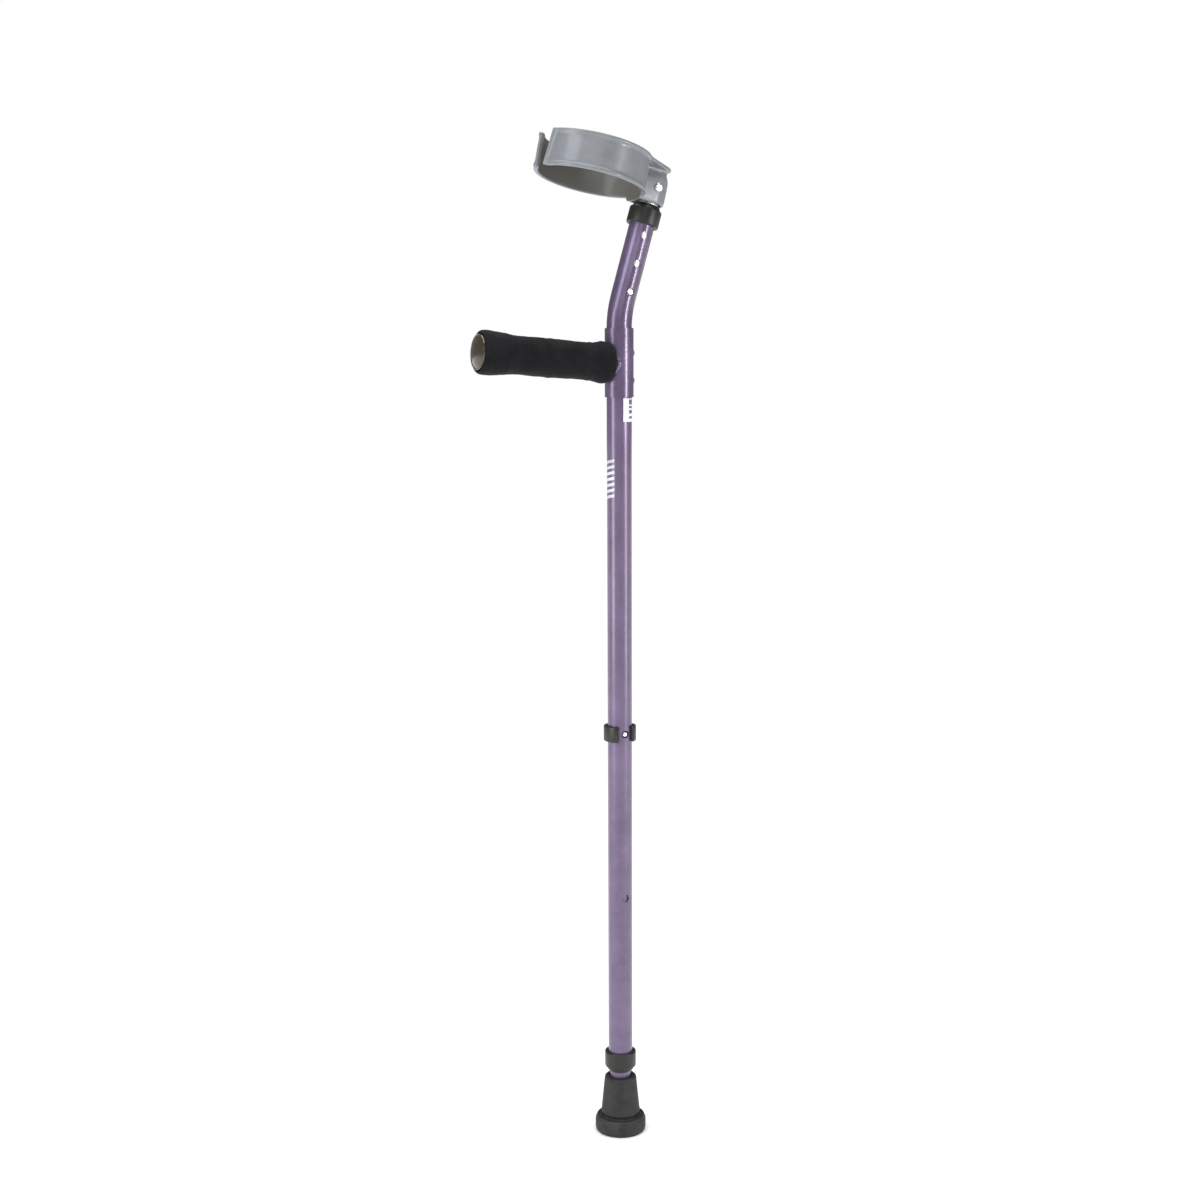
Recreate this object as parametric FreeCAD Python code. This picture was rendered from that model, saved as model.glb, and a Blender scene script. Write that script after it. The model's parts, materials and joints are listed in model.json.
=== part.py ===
import FreeCAD, Part
import math
import os

# Forearm crutch. Millimetres and degrees. +Z is up, the origin is the centre of the rubber sole,
# the handgrip points along -X and the forearm tube leans back along +X.

# Round tube stock
tube_od = 22.225
tube_wall = 1.473
slide_clearance = 0.1145
inner_tube_wall = 1.25
hole_pitch = 25.4

# Main tube: upright, one bend, then the forearm stretch
main_tube_bottom = 62.5
bend_corner_height = 750.0
bend_radius = 95.0
forearm_lean = 16.5
forearm_length = 79.0
lock_hole_height = 376.0
lock_hole_diameter = 7.0
lock_hole_spare_steps = 6
forearm_last_hole_below_collar = 9.7
forearm_hole_diameter = 6.6
forearm_hole_count = 3

# Leg tube and rubber foot
leg_tube_above_hole = 26.0
leg_hole_diameter = 6.4
leg_hole_count = 7
ferrule_height = 52.0
ferrule_foot_radius = 23.3
ferrule_sole_radius = 21.6
ferrule_foot_top = 14.5
ferrule_shoulder_radius = 20.2
ferrule_cone_base = 17.0
ferrule_cone_base_radius = 18.0
ferrule_top_wall = 5.2
ferrule_floor = 8.0
ferrule_bore_clearance = 0.06
ferrule_bulge_low = 3.5
ferrule_bulge_high = 9.5
ferrule_low_swell = 0.5
ferrule_low_swell_height = 1.2
ferrule_high_swell = 0.8
ferrule_high_swell_height = 12.5
ferrule_rim_chamfer = 1.2
ferrule_rim_chamfer_height = 1.5
washer_thickness = 1.5
washer_hole_radius = 3.0

# Collars over the open tube ends
collar_wall = 3.0875
collar_wide_height = 14.5
collar_step_wall = 2.925
collar_end_wall = 1.725
collar_taper_height = 3.5
collar_tube_cover = 13.5
collar_fit = 0.1
collar_slide_clearance = 0.15
collar_edge = 0.6

# Snap clip with its cross pin
clip_height = 14.0
clip_wall = 3.3
clip_clearance = 0.3
clip_opening = 62.0
clip_edge = 0.8
pin_diameter = 5.2
pin_head_radius = 4.0
pin_head_height = 1.3
pin_end_inset = 0.2
pin_seat_clearance = 0.05
pin_end_rounding = 0.3
pin_head_rounding = 0.6

# Handle: sleeve on the main tube, bar, grip
sleeve_wall = 1.4875
sleeve_height = 60.0
sleeve_past_bend_start = 0.8
sleeve_clearance = 0.1
handle_above_sleeve_bottom = 29.0
handle_rise = 4.2
bar_od = 19.05
bar_wall = 1.5
bar_length = 128.0
rivets_above_sleeve_bottom = 26.5
rivet_half_spacing = 12.0
rivet_diameter = 4.0
rivet_clearance = 0.05
rivet_head_radius = 3.2
rivet_head_height = 1.3
rivet_tail_radius = 2.7
rivet_tail_height = 0.9
rivet_tail_inset = 0.6
rivet_head_lift = 0.05
rivet_head_rounding = 0.8
core_start = 16.0
grip_end = 134.4
core_wall = 3.2
core_clearance = 0.08
core_flange_overhang = 2.4
core_flange_height = 2.5
foam_gap = 0.3
foam_start = 9.5
foam_end_inset = 4.2
foam_tube_end_thickness = 3.8
foam_tube_flare_thickness = 5.8
foam_neck_thickness = 3.2
foam_belly_thickness = 4.0
foam_hand_thickness = 3.6
foam_end_flare_thickness = 6.4
foam_end_thickness = 5.6
foam_tube_flare_at = 0.05
foam_neck_at = 0.18
foam_belly_at = 0.46
foam_hand_at = 0.71
foam_end_flare_at = 0.965
cap_overhang = 2.5
cap_rim_height = 2.0
cap_dome_height = 3.4
cap_plug_length = 14.0
cap_plug_clearance = 0.08

# Label below the sleeve
label_height = 20.5
label_gap_below_sleeve = 1.0
label_thickness = 0.15
label_lift = 0.05
label_start_angle = -8.0
label_end_angle = 60.0

# Cuff post with its spring button
post_below_first_hole = 7.0
post_above_bolt = 7.0
post_edge = 1.5
post_edge_wall_share = 0.8
bolt_above_tube_end = 19.8
button_radius = 2.8
button_clearance = 0.3
button_stand_out = 1.0
button_dome_height = 1.2
spring_thickness = 0.8
spring_width = 5.6
spring_edge_gap = 0.49
spring_length = 40.0
spring_below_button = 3.6
spring_back_length = 20.0
spring_fold_radius = 2.4

# Cuff: open band round the forearm with a housing round the post
cuff_lean = 13.2
band_radius = 48.0
band_wall = 3.0
band_height = 31.8
band_below_bolt = 11.0
band_to_post_gap = 1.975
band_bead = 1.2
band_bead_height = 3.4
mouth_half_angle = 17.0
lip_flare_radius = 5.0
lip_flare_angle = 40.0
housing_wall = 2.4
housing_front_inset = 5.5
housing_waist_inset = 2.6
housing_step_height = 11.0
housing_below_bolt = 14.0
housing_above_bolt = 20.0
flange_thickness = 3.2
flange_corner_angle = 40.0
flange_back_share = 0.5
flange_back_width_share = 0.85
pocket_side_clearance = 1.1
pocket_rear_shift = 0.4
pocket_front_inset = 0.7
pocket_head_room = 2.0
bolt_diameter = 5.0
bolt_hole_clearance = 0.1
bolt_head_radius = 3.9
bolt_head_height = 2.2
bolt_drive_width = 1.1
bolt_drive_depth = 1.2
bolt_drive_length = 4.4
nut_across_flats = 8.0
nut_height = 3.4
bolt_tail = 1.0
bolt_head_rounding = 0.7

# Sizes that follow from the ones above
tube_radius = tube_od / 2
tube_bore = tube_radius - tube_wall
inner_radius = tube_bore - slide_clearance
inner_bore = inner_radius - inner_tube_wall
lean = math.radians(forearm_lean)
bend_tangent = bend_radius * math.tan(lean / 2)
bend_start = bend_corner_height - bend_tangent
sleeve_bottom = bend_start + sleeve_past_bend_start - sleeve_height
sleeve_radius = tube_radius + sleeve_clearance + sleeve_wall
handle_height = sleeve_bottom + handle_above_sleeve_bottom
core_inner = bar_od / 2 + core_clearance
core_outer = core_inner + core_wall
core_flange_radius = core_outer + core_flange_overhang
cap_radius = core_outer + cap_overhang
ferrule_top_radius = inner_radius + ferrule_top_wall
forearm_last_hole = forearm_length - collar_tube_cover - forearm_last_hole_below_collar
forearm_first_hole = forearm_last_hole - (forearm_hole_count - 1) * hole_pitch
post_bottom = forearm_first_hole - post_below_first_hole
bolt_along_forearm = forearm_length + bolt_above_tube_end
band_rear = -(inner_radius + band_to_post_gap)
band_centre = band_rear - band_radius
housing_front = band_rear - housing_front_inset
pocket_front = band_rear - pocket_front_inset
X = FreeCAD.Vector(1, 0, 0)
Y = FreeCAD.Vector(0, 1, 0)
Z = FreeCAD.Vector(0, 0, 1)
forearm_direction = FreeCAD.Vector(math.sin(lean), 0, math.cos(lean))
bend_end = FreeCAD.Vector(0, 0, bend_corner_height) + forearm_direction * bend_tangent
forearm_frame = FreeCAD.Placement(bend_end, FreeCAD.Rotation(Y, forearm_lean))
bolt_centre = bend_end + forearm_direction * bolt_along_forearm
cuff_frame = FreeCAD.Placement(bolt_centre, FreeCAD.Rotation(Y, cuff_lean))
handle_base = FreeCAD.Vector(0, 0, handle_height)
handle_frame = FreeCAD.Placement(handle_base, FreeCAD.Rotation(Y, handle_rise - 90))
cut_margin = 2.0
edge_tolerance = 0.1
circle_tolerance = 0.01


def point(x, y, z):
    return FreeCAD.Vector(x, y, z)


def placed(shape, frame):
    moved = shape.copy()
    moved.transformShape(frame.toMatrix())
    return moved


def cylinder(radius, start, direction, length):
    return Part.makeCylinder(radius, length, start, direction)


def revolved(outline):
    """Turn an outline of (radius, height) points about Z."""
    corners = [point(radius, 0, height) for radius, height in outline]
    wire = Part.makePolygon(corners + corners[:1])
    return Part.Face(wire).revolve(point(0, 0, 0), Z, 360)


def ring(outer, inner, low, high):
    return revolved([(inner, low), (outer, low), (outer, high), (inner, high)])


def rounded(shape, radius, chosen):
    edges = [edge for edge in shape.Edges if chosen(edge)]
    return shape.makeFillet(radius, edges)


def is_circle(edge, radius):
    curve = edge.Curve
    return isinstance(curve, Part.Circle) and abs(curve.Radius - radius) < circle_tolerance


def bent_rod(radius, bottom, forearm_end):
    upright = cylinder(radius, point(0, 0, bottom), Z, bend_start - bottom)
    disc = Part.Face(Part.Wire(Part.Circle(point(0, 0, bend_start), Z, radius).toShape()))
    bend = disc.revolve(point(bend_radius, 0, bend_start), Y, forearm_lean)
    forearm = cylinder(radius, bend_end, forearm_direction, forearm_end)
    return upright.fuse([bend, forearm]).removeSplitter()


def forearm_hole_heights():
    return [forearm_first_hole + step * hole_pitch for step in range(forearm_hole_count)]


def rivet_heights():
    middle = sleeve_bottom + rivets_above_sleeve_bottom
    return [middle - rivet_half_spacing, middle + rivet_half_spacing]


def main_tube():
    outside = bent_rod(tube_radius, main_tube_bottom, forearm_length)
    bore = bent_rod(tube_bore, main_tube_bottom - cut_margin, forearm_length + cut_margin)
    tube = outside.cut(bore)
    spare_height = lock_hole_height - lock_hole_spare_steps * hole_pitch
    for height in (lock_hole_height, spare_height):
        start = point(0, -tube_od, height)
        tube = tube.cut(cylinder(lock_hole_diameter / 2, start, Y, 2 * tube_od))
    for height in forearm_hole_heights():
        hole = cylinder(forearm_hole_diameter / 2, point(0, -tube_od, height), Y, tube_od)
        tube = tube.cut(placed(hole, forearm_frame))
    for height in rivet_heights():
        start = point(0, 0, height)
        tube = tube.cut(cylinder(rivet_diameter / 2 + rivet_clearance, start, X, tube_od))
    return tube


def handle_sleeve():
    top = sleeve_bottom + sleeve_height
    sleeve = ring(sleeve_radius, tube_radius + sleeve_clearance, sleeve_bottom, top)
    for height in rivet_heights():
        start = point(0, 0, height)
        sleeve = sleeve.cut(cylinder(rivet_diameter / 2 + rivet_clearance, start, X, tube_od))
    return sleeve


def sleeve_rivet(height):
    radius = rivet_diameter / 2
    inside = tube_bore - rivet_tail_inset
    outside = sleeve_radius + rivet_head_lift
    shank = cylinder(radius, point(inside, 0, height), X, outside - inside)
    head_start = point(outside, 0, height)
    head = cylinder(rivet_head_radius, head_start, X, rivet_head_height)
    head = rounded(head, rivet_head_height * rivet_head_rounding,
                   lambda edge: edge.CenterOfMass.x > outside + edge_tolerance)
    tail_start = point(inside - rivet_tail_height, 0, height)
    tail = cylinder(rivet_tail_radius, tail_start, X, rivet_tail_height)
    return shank.fuse([head, tail]).removeSplitter()


def handle_bar():
    outside = cylinder(bar_od / 2, point(0, 0, 0), Z, bar_length)
    bore = cylinder(bar_od / 2 - bar_wall, point(0, 0, 0), Z, bar_length + cut_margin)
    bar = placed(outside.cut(bore), handle_frame)
    sleeve_space = cylinder(sleeve_radius, point(0, 0, sleeve_bottom), Z, sleeve_height)
    return bar.cut(sleeve_space)


def grip_core():
    inner = core_inner
    outer = core_outer
    flange_start = grip_end - core_flange_height - cap_rim_height
    flange_end = grip_end - cap_rim_height
    outline = [(inner, core_start), (outer, core_start), (outer, flange_start)]
    outline += [(core_flange_radius, flange_start), (core_flange_radius, flange_end)]
    outline += [(inner, flange_end)]
    return placed(revolved(outline), handle_frame)


def grip_end_cap():
    seat = grip_end - cap_rim_height
    plug_radius = bar_od / 2 - bar_wall - cap_plug_clearance
    plug = cylinder(plug_radius, point(0, 0, bar_length - cap_plug_length), Z,
                    seat - bar_length + cap_plug_length)
    rim = cylinder(cap_radius, point(0, 0, seat), Z, cap_rim_height)
    dome_radius = (cap_radius ** 2 + cap_dome_height ** 2) / (2 * cap_dome_height)
    ball_centre = point(0, 0, seat + cap_rim_height + cap_dome_height - dome_radius)
    ball = Part.makeSphere(dome_radius, ball_centre)
    block = cylinder(cap_radius, point(0, 0, seat + cap_rim_height), Z, cap_dome_height + cut_margin)
    dome = ball.common(block)
    return placed(plug.fuse([rim, dome]).removeSplitter(), handle_frame)


def grip_foam():
    start = foam_start
    end = grip_end - foam_end_inset
    length = end - start
    inner = core_outer + foam_gap
    recess = max(cap_radius, core_flange_radius) + foam_gap
    recess_start = grip_end - cap_rim_height - core_flange_height - foam_gap
    stations = [(core_outer + foam_tube_end_thickness, start),
                (core_outer + foam_tube_flare_thickness, start + foam_tube_flare_at * length),
                (core_outer + foam_neck_thickness, start + foam_neck_at * length),
                (core_outer + foam_belly_thickness, start + foam_belly_at * length),
                (core_outer + foam_hand_thickness, start + foam_hand_at * length),
                (core_outer + foam_end_flare_thickness, start + foam_end_flare_at * length),
                (core_outer + foam_end_thickness, end)]
    skin = Part.BSplineCurve()
    skin.interpolate([point(radius, 0, height) for radius, height in stations])
    rest = [point(core_outer + foam_end_thickness, 0, end), point(recess, 0, end),
            point(recess, 0, recess_start), point(inner, 0, recess_start),
            point(inner, 0, start), point(core_outer + foam_tube_end_thickness, 0, start)]
    edges = [skin.toShape()] + list(Part.makePolygon(rest).Edges)
    foam = placed(Part.Face(Part.Wire(edges)).revolve(point(0, 0, 0), Z, 360), handle_frame)
    sleeve_space = cylinder(sleeve_radius + foam_gap, point(0, 0, sleeve_bottom), Z, sleeve_height)
    return foam.cut(sleeve_space)


def collar():
    """Wide end over the tube, tapered lip round the tube that slides; wide end down at Z = 0."""
    over_tube = tube_radius + collar_fit
    over_slider = inner_radius + collar_slide_clearance
    outside = over_tube + collar_wall
    top = collar_wide_height + collar_taper_height
    outline = [(over_tube, 0), (outside - collar_edge, 0), (outside, collar_edge)]
    outline += [(outside, collar_wide_height - collar_edge)]
    outline += [(outside - collar_edge, collar_wide_height)]
    outline += [(over_slider + collar_step_wall, collar_wide_height)]
    outline += [(over_slider + collar_end_wall, top)]
    outline += [(over_slider, top), (over_slider, collar_tube_cover + collar_fit)]
    outline += [(over_tube, collar_tube_cover + collar_fit)]
    return revolved(outline)


def upper_collar():
    shift = FreeCAD.Placement(point(0, 0, forearm_length - collar_tube_cover), FreeCAD.Rotation())
    return placed(collar(), forearm_frame.multiply(shift))


def lower_collar():
    turned = FreeCAD.Placement(point(0, 0, main_tube_bottom + collar_tube_cover),
                               FreeCAD.Rotation(X, 180))
    return placed(collar(), turned)


def tube_label():
    top = sleeve_bottom - label_gap_below_sleeve
    inner = tube_radius + label_lift
    band = ring(inner + label_thickness, inner, top - label_height, top)
    span = label_end_angle - label_start_angle
    wedge_start = point(0, 0, top - label_height - cut_margin)
    wedge = Part.makeCylinder(tube_od, label_height + 2 * cut_margin, wedge_start, Z, span)
    wedge.rotate(point(0, 0, 0), Z, label_start_angle - 90)
    return band.common(wedge)


def leg_clip():
    inner = tube_radius + clip_clearance
    outer = inner + clip_wall
    low = lock_hole_height - clip_height / 2
    band = ring(outer, inner, low, low + clip_height)
    wedge_start = point(0, 0, low - cut_margin)
    wedge = Part.makeCylinder(tube_od, clip_height + 2 * cut_margin, wedge_start, Z, clip_opening)
    wedge.rotate(point(0, 0, 0), Z, -90 - clip_opening / 2)
    clip = band.cut(wedge)
    clip = rounded(clip, clip_edge, lambda edge: is_circle(edge, outer))
    seat = cylinder(pin_diameter / 2 + pin_seat_clearance, point(0, 0, lock_hole_height), Y, tube_od)
    return clip.cut(seat)


def leg_clip_pin():
    back = tube_radius + clip_clearance + clip_wall
    front = -tube_radius + pin_end_inset
    shank = cylinder(pin_diameter / 2, point(0, front, lock_hole_height), Y, back - front)
    shank = rounded(shank, pin_diameter * pin_end_rounding,
                    lambda edge: edge.CenterOfMass.y < front + edge_tolerance)
    head = cylinder(pin_head_radius, point(0, back, lock_hole_height), Y, pin_head_height)
    head = rounded(head, pin_head_height * pin_head_rounding,
                   lambda edge: edge.CenterOfMass.y > back + pin_head_height - edge_tolerance)
    return shank.fuse(head).removeSplitter()


def leg_tube():
    bottom = ferrule_floor + washer_thickness
    highest_hole = lock_hole_height + (leg_hole_count - 1) * hole_pitch
    top = highest_hole + leg_tube_above_hole
    tube = ring(inner_radius, inner_bore, bottom, top)
    for step in range(leg_hole_count):
        height = lock_hole_height + step * hole_pitch
        start = point(0, -tube_od, height)
        tube = tube.cut(cylinder(leg_hole_diameter / 2, start, Y, 2 * tube_od))
    return tube


def ferrule():
    bore = inner_radius + ferrule_bore_clearance
    foot_bulge_low = point(ferrule_foot_radius, 0, ferrule_bulge_low)
    foot_bulge_high = point(ferrule_foot_radius, 0, ferrule_bulge_high)
    low_mid = point(ferrule_foot_radius - ferrule_low_swell, 0, ferrule_low_swell_height)
    high_mid = point(ferrule_foot_radius - ferrule_high_swell, 0, ferrule_high_swell_height)
    sole_edge = point(ferrule_sole_radius, 0, 0)
    shoulder = point(ferrule_shoulder_radius, 0, ferrule_foot_top)
    corners = [shoulder, point(ferrule_cone_base_radius, 0, ferrule_cone_base)]
    rim_chamfer_base = ferrule_height - ferrule_rim_chamfer_height
    corners += [point(ferrule_top_radius, 0, rim_chamfer_base)]
    corners += [point(ferrule_top_radius - ferrule_rim_chamfer, 0, ferrule_height)]
    corners += [point(bore, 0, ferrule_height), point(bore, 0, ferrule_floor)]
    corners += [point(0, 0, ferrule_floor), point(0, 0, 0), sole_edge]
    edges = [Part.Arc(sole_edge, low_mid, foot_bulge_low).toShape()]
    edges += [Part.LineSegment(foot_bulge_low, foot_bulge_high).toShape()]
    edges += [Part.Arc(foot_bulge_high, high_mid, shoulder).toShape()]
    edges += list(Part.makePolygon(corners).Edges)
    return Part.Face(Part.Wire(edges)).revolve(point(0, 0, 0), Z, 360)


def ferrule_washer():
    outer = inner_radius - ferrule_bore_clearance
    return ring(outer, washer_hole_radius, ferrule_floor, ferrule_floor + washer_thickness)


def cuff_post():
    top = bolt_along_forearm + post_above_bolt
    post = ring(inner_radius, inner_bore, post_bottom, top)
    edge_limit = min(post_edge, inner_tube_wall * post_edge_wall_share)
    post = rounded(post, edge_limit, lambda edge: (
        is_circle(edge, inner_radius) and edge.CenterOfMass.z > top - edge_tolerance))
    bolt_start = point(0, -tube_od, bolt_along_forearm)
    post = post.cut(cylinder(bolt_diameter / 2 + bolt_hole_clearance, bolt_start, Y, 2 * tube_od))
    button_start = point(0, -tube_od, forearm_first_hole)
    hole_radius = button_radius + button_clearance
    post = post.cut(cylinder(hole_radius, button_start, Y, tube_od))
    return placed(post, forearm_frame)


def cuff_spring_button():
    low = forearm_first_hole - spring_below_button
    face = spring_edge_gap - math.sqrt(inner_bore ** 2 - (spring_width / 2) ** 2)
    leaf = Part.makeBox(spring_width, spring_thickness, spring_length,
                        point(-spring_width / 2, face, low))
    fold_centre = point(-spring_width / 2, face + spring_fold_radius, low + spring_length)
    fold = cylinder(spring_fold_radius, fold_centre, X, spring_width)
    inner_radius_of_fold = spring_fold_radius - spring_thickness
    fold = fold.cut(cylinder(inner_radius_of_fold, fold_centre, X, spring_width))
    lower_half = Part.makeBox(spring_width, 2 * spring_fold_radius, spring_fold_radius,
                              point(-spring_width / 2, face, low + spring_length - spring_fold_radius))
    fold = fold.cut(lower_half)
    back_face = face + 2 * spring_fold_radius - spring_thickness
    back_low = low + spring_length - spring_back_length
    back = Part.makeBox(spring_width, spring_thickness, spring_back_length,
                        point(-spring_width / 2, back_face, back_low))
    tip = -(tube_radius + button_stand_out)
    button_start = point(0, tip, forearm_first_hole)
    button = cylinder(button_radius, button_start, Y, face - tip + spring_thickness)
    button = rounded(button, button_dome_height, lambda edge: edge.CenterOfMass.y < tip + edge_tolerance)
    return placed(leaf.fuse([fold, back, button]).removeSplitter(), forearm_frame)


def band_section(low, high, outer, inner):
    """A C of the band between two heights, cut open at the mouth."""
    centre = point(band_centre, 0, low)
    solid = Part.makeCylinder(outer, high - low, centre, Z)
    solid = solid.cut(Part.makeCylinder(inner, high - low, centre, Z))
    wedge_start = point(band_centre, 0, low - cut_margin)
    wedge = Part.makeCylinder(2 * band_radius, high - low + 2 * cut_margin, wedge_start, Z,
                              2 * mouth_half_angle)
    wedge.rotate(point(band_centre, 0, 0), Z, 180 - mouth_half_angle)
    return solid.cut(wedge)


def band_lip(side):
    """The end of the band, turned outwards round a small radius."""
    low = -band_below_bolt
    angle = math.radians(180 - side * mouth_half_angle)
    outward = point(math.cos(angle), math.sin(angle), 0)
    middle = band_radius - band_wall / 2
    start = point(band_centre, 0, low) + outward * middle
    pivot = start + outward * lip_flare_radius
    half = outward * (band_wall / 2)
    strip = Part.makePolygon([start - half, start + half, start + half + Z * band_height,
                              start - half + Z * band_height, start - half])
    return Part.Face(strip).revolve(pivot, Z * side, -lip_flare_angle)


def cuff_band():
    low = -band_below_bolt
    high = low + band_height
    inner = band_radius - band_wall
    band = band_section(low, high, band_radius, inner)
    lower_bead = band_section(low, low + band_bead_height, band_radius + band_bead, inner)
    upper_bead = band_section(high - band_bead_height, high, band_radius + band_bead, inner)
    return band.fuse([lower_bead, upper_bead, band_lip(1), band_lip(-1)])


def round_backed_block(front, radius, rear_centre, low, high):
    """A block whose rear is a half cylinder, like the letter D seen from above."""
    size_x = rear_centre - front
    block = Part.makeBox(size_x, 2 * radius, high - low, point(front, -radius, low))
    back = cylinder(radius, point(rear_centre, 0, low), Z, high - low)
    return block.fuse(back)


def pocket_radius():
    return inner_radius + pocket_side_clearance


def housing_radius():
    return pocket_radius() + housing_wall


def post_housing():
    """Round-backed housing behind the band, closed on top by a flange and open below."""
    radius = housing_radius()
    flange_low = housing_above_bolt - flange_thickness
    knuckle = round_backed_block(housing_front, radius, pocket_rear_shift,
                                 -housing_below_bolt, housing_step_height)
    waist = round_backed_block(housing_front, radius - housing_waist_inset, pocket_rear_shift,
                               housing_step_height, flange_low)
    cap = round_backed_block(housing_front, radius, pocket_rear_shift,
                             flange_low, housing_above_bolt)
    corner_angle = math.radians(flange_corner_angle)
    front = band_centre + band_radius * math.cos(corner_angle)
    front_half = band_radius * math.sin(corner_angle)
    back = pocket_rear_shift + radius * flange_back_share
    back_half = radius * flange_back_width_share
    corners = [(front, front_half), (back, back_half), (back, -back_half), (front, -front_half)]
    corners = [point(x, y, flange_low) for x, y in corners]
    gusset = Part.makePolygon(corners + corners[:1])
    roof = Part.Face(gusset).extrude(Z * flange_thickness)
    return knuckle.fuse([waist, cap, roof])


def post_pocket():
    radius = pocket_radius()
    room_top = post_above_bolt + pocket_head_room
    lower = round_backed_block(pocket_front, radius, pocket_rear_shift,
                               -housing_below_bolt - cut_margin, room_top)
    upper = round_backed_block(pocket_front, radius - housing_waist_inset, pocket_rear_shift,
                               0, housing_above_bolt - flange_thickness)
    return lower.fuse(upper)


def cuff():
    forearm_space = Part.makeCylinder(band_radius - band_wall, 4 * band_height,
                                      point(band_centre, 0, -2 * band_height), Z)
    housing = post_housing().cut(forearm_space)
    shell = cuff_band().fuse(housing).cut(post_pocket())
    hole_start = point(0, -2 * housing_radius(), 0)
    hole = cylinder(bolt_diameter / 2 + bolt_hole_clearance, hole_start, Y, 4 * housing_radius())
    return placed(shell.cut(hole).removeSplitter(), cuff_frame)


def cuff_bolt():
    wide = housing_radius()
    shank = cylinder(bolt_diameter / 2, point(0, -wide, 0), Y, 2 * wide + nut_height + bolt_tail)
    head = cylinder(bolt_head_radius, point(0, -wide - bolt_head_height, 0), Y, bolt_head_height)
    head = rounded(head, bolt_head_height * bolt_head_rounding,
                   lambda edge: edge.CenterOfMass.y < edge_tolerance - wide - bolt_head_height)
    bolt = shank.fuse(head).removeSplitter()
    face = -wide - bolt_head_height
    for along, across in ((bolt_drive_length, bolt_drive_width), (bolt_drive_width, bolt_drive_length)):
        slot = Part.makeBox(along, bolt_drive_depth, across, point(-along / 2, face, -across / 2))
        bolt = bolt.cut(slot)
    return placed(bolt, cuff_frame)


def cuff_nut():
    corner = nut_across_flats / math.sqrt(3)
    start = housing_radius()
    corners = [point(corner * math.cos(math.radians(60 * i)), start,
                     corner * math.sin(math.radians(60 * i))) for i in range(7)]
    nut = Part.Face(Part.makePolygon(corners)).extrude(Y * nut_height)
    hole = cylinder(bolt_diameter / 2 + pin_seat_clearance, point(0, 0, 0), Y, 4 * start)
    return placed(nut.cut(hole), cuff_frame)


nodes = {
    "main_tube": main_tube,
    "handle_sleeve": handle_sleeve,
    "sleeve_rivets": lambda: Part.makeCompound([sleeve_rivet(height) for height in rivet_heights()]),
    "handle_bar": handle_bar,
    "grip_core": grip_core,
    "grip_end_cap": grip_end_cap,
    "grip_foam": grip_foam,
    "upper_collar": upper_collar,
    "lower_collar": lower_collar,
    "tube_label": tube_label,
    "leg_clip": leg_clip,
    "leg_clip_pin": leg_clip_pin,
    "leg_tube": leg_tube,
    "ferrule": ferrule,
    "ferrule_washer": ferrule_washer,
    "cuff_post": cuff_post,
    "cuff_spring_button": cuff_spring_button,
    "cuff": cuff,
    "cuff_bolt": cuff_bolt,
    "cuff_nut": cuff_nut,
}

os.makedirs("parts", exist_ok=True)
for name, make in nodes.items():
    shape = make()
    print(name, len(shape.Solids), "solid", round(shape.Volume), "mm3", shape.isValid())
    shape.exportStep("parts/" + name + ".step")
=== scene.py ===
# %% [markdown]
# # A forearm crutch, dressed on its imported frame
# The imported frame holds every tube, collar and bolt at its true size, and it never moves. This lesson
# keeps the metal parts as they are and gives them finishes, and it models the moulded, rubber and foam
# pieces again with the rounded edges, beads and treads that a tool or a mould leaves.

# %% Load the frame
import json
import math
import bpy
from mathutils import Matrix, Vector


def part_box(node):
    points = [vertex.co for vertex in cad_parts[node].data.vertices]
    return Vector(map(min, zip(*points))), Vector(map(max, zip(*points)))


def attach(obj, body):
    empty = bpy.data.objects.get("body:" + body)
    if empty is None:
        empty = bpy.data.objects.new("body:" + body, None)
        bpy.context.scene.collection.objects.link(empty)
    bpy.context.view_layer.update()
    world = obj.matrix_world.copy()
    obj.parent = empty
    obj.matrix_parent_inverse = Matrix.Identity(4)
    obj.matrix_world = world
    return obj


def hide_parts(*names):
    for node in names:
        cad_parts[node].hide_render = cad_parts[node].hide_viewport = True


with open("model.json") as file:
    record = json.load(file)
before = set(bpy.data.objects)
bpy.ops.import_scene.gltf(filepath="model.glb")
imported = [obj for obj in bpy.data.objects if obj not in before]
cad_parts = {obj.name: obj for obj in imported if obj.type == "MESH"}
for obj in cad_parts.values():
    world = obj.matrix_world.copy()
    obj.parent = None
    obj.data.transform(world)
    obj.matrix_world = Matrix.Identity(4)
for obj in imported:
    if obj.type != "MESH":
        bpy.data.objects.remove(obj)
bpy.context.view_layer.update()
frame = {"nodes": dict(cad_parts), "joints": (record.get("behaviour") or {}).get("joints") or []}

nodes = frame["nodes"]
joints = {joint["name"]: joint for joint in frame["joints"]}
MM = 0.001

# %% [markdown]
# ## Where things are
# Three directions rule the crutch: the upright tube, the handle that points forwards and up a little,
# and the forearm stretch that leans back. Each gets a matrix, so that a piece can be modelled standing
# up at the origin in millimetre-sized steps and then be put in its place. The places come from the
# frame's own nodes and joints.

# %% Directions and places
bolt = Vector(joints["cuff_tilt"]["pos_m"])
forearm_up = Vector(joints["cuff_slide"]["axis"])
forearm_lean = math.atan2(forearm_up.x, forearm_up.z)
cuff_lean = math.radians(13.2)
handle_rise = math.radians(4.2)
tube_radius = -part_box("main_tube")[0].x
sleeve_low, sleeve_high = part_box("handle_sleeve")
sleeve_radius = sleeve_high.x
root_above_sleeve_foot = 29
handle_root = Vector((0, 0, sleeve_low.z + root_above_sleeve_foot * MM))


def standing(place, lean):
    """The matrix that leans a piece about Y and puts its origin at a place."""
    return Matrix.Translation(place) @ Matrix.Rotation(lean, 4, "Y")


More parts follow.
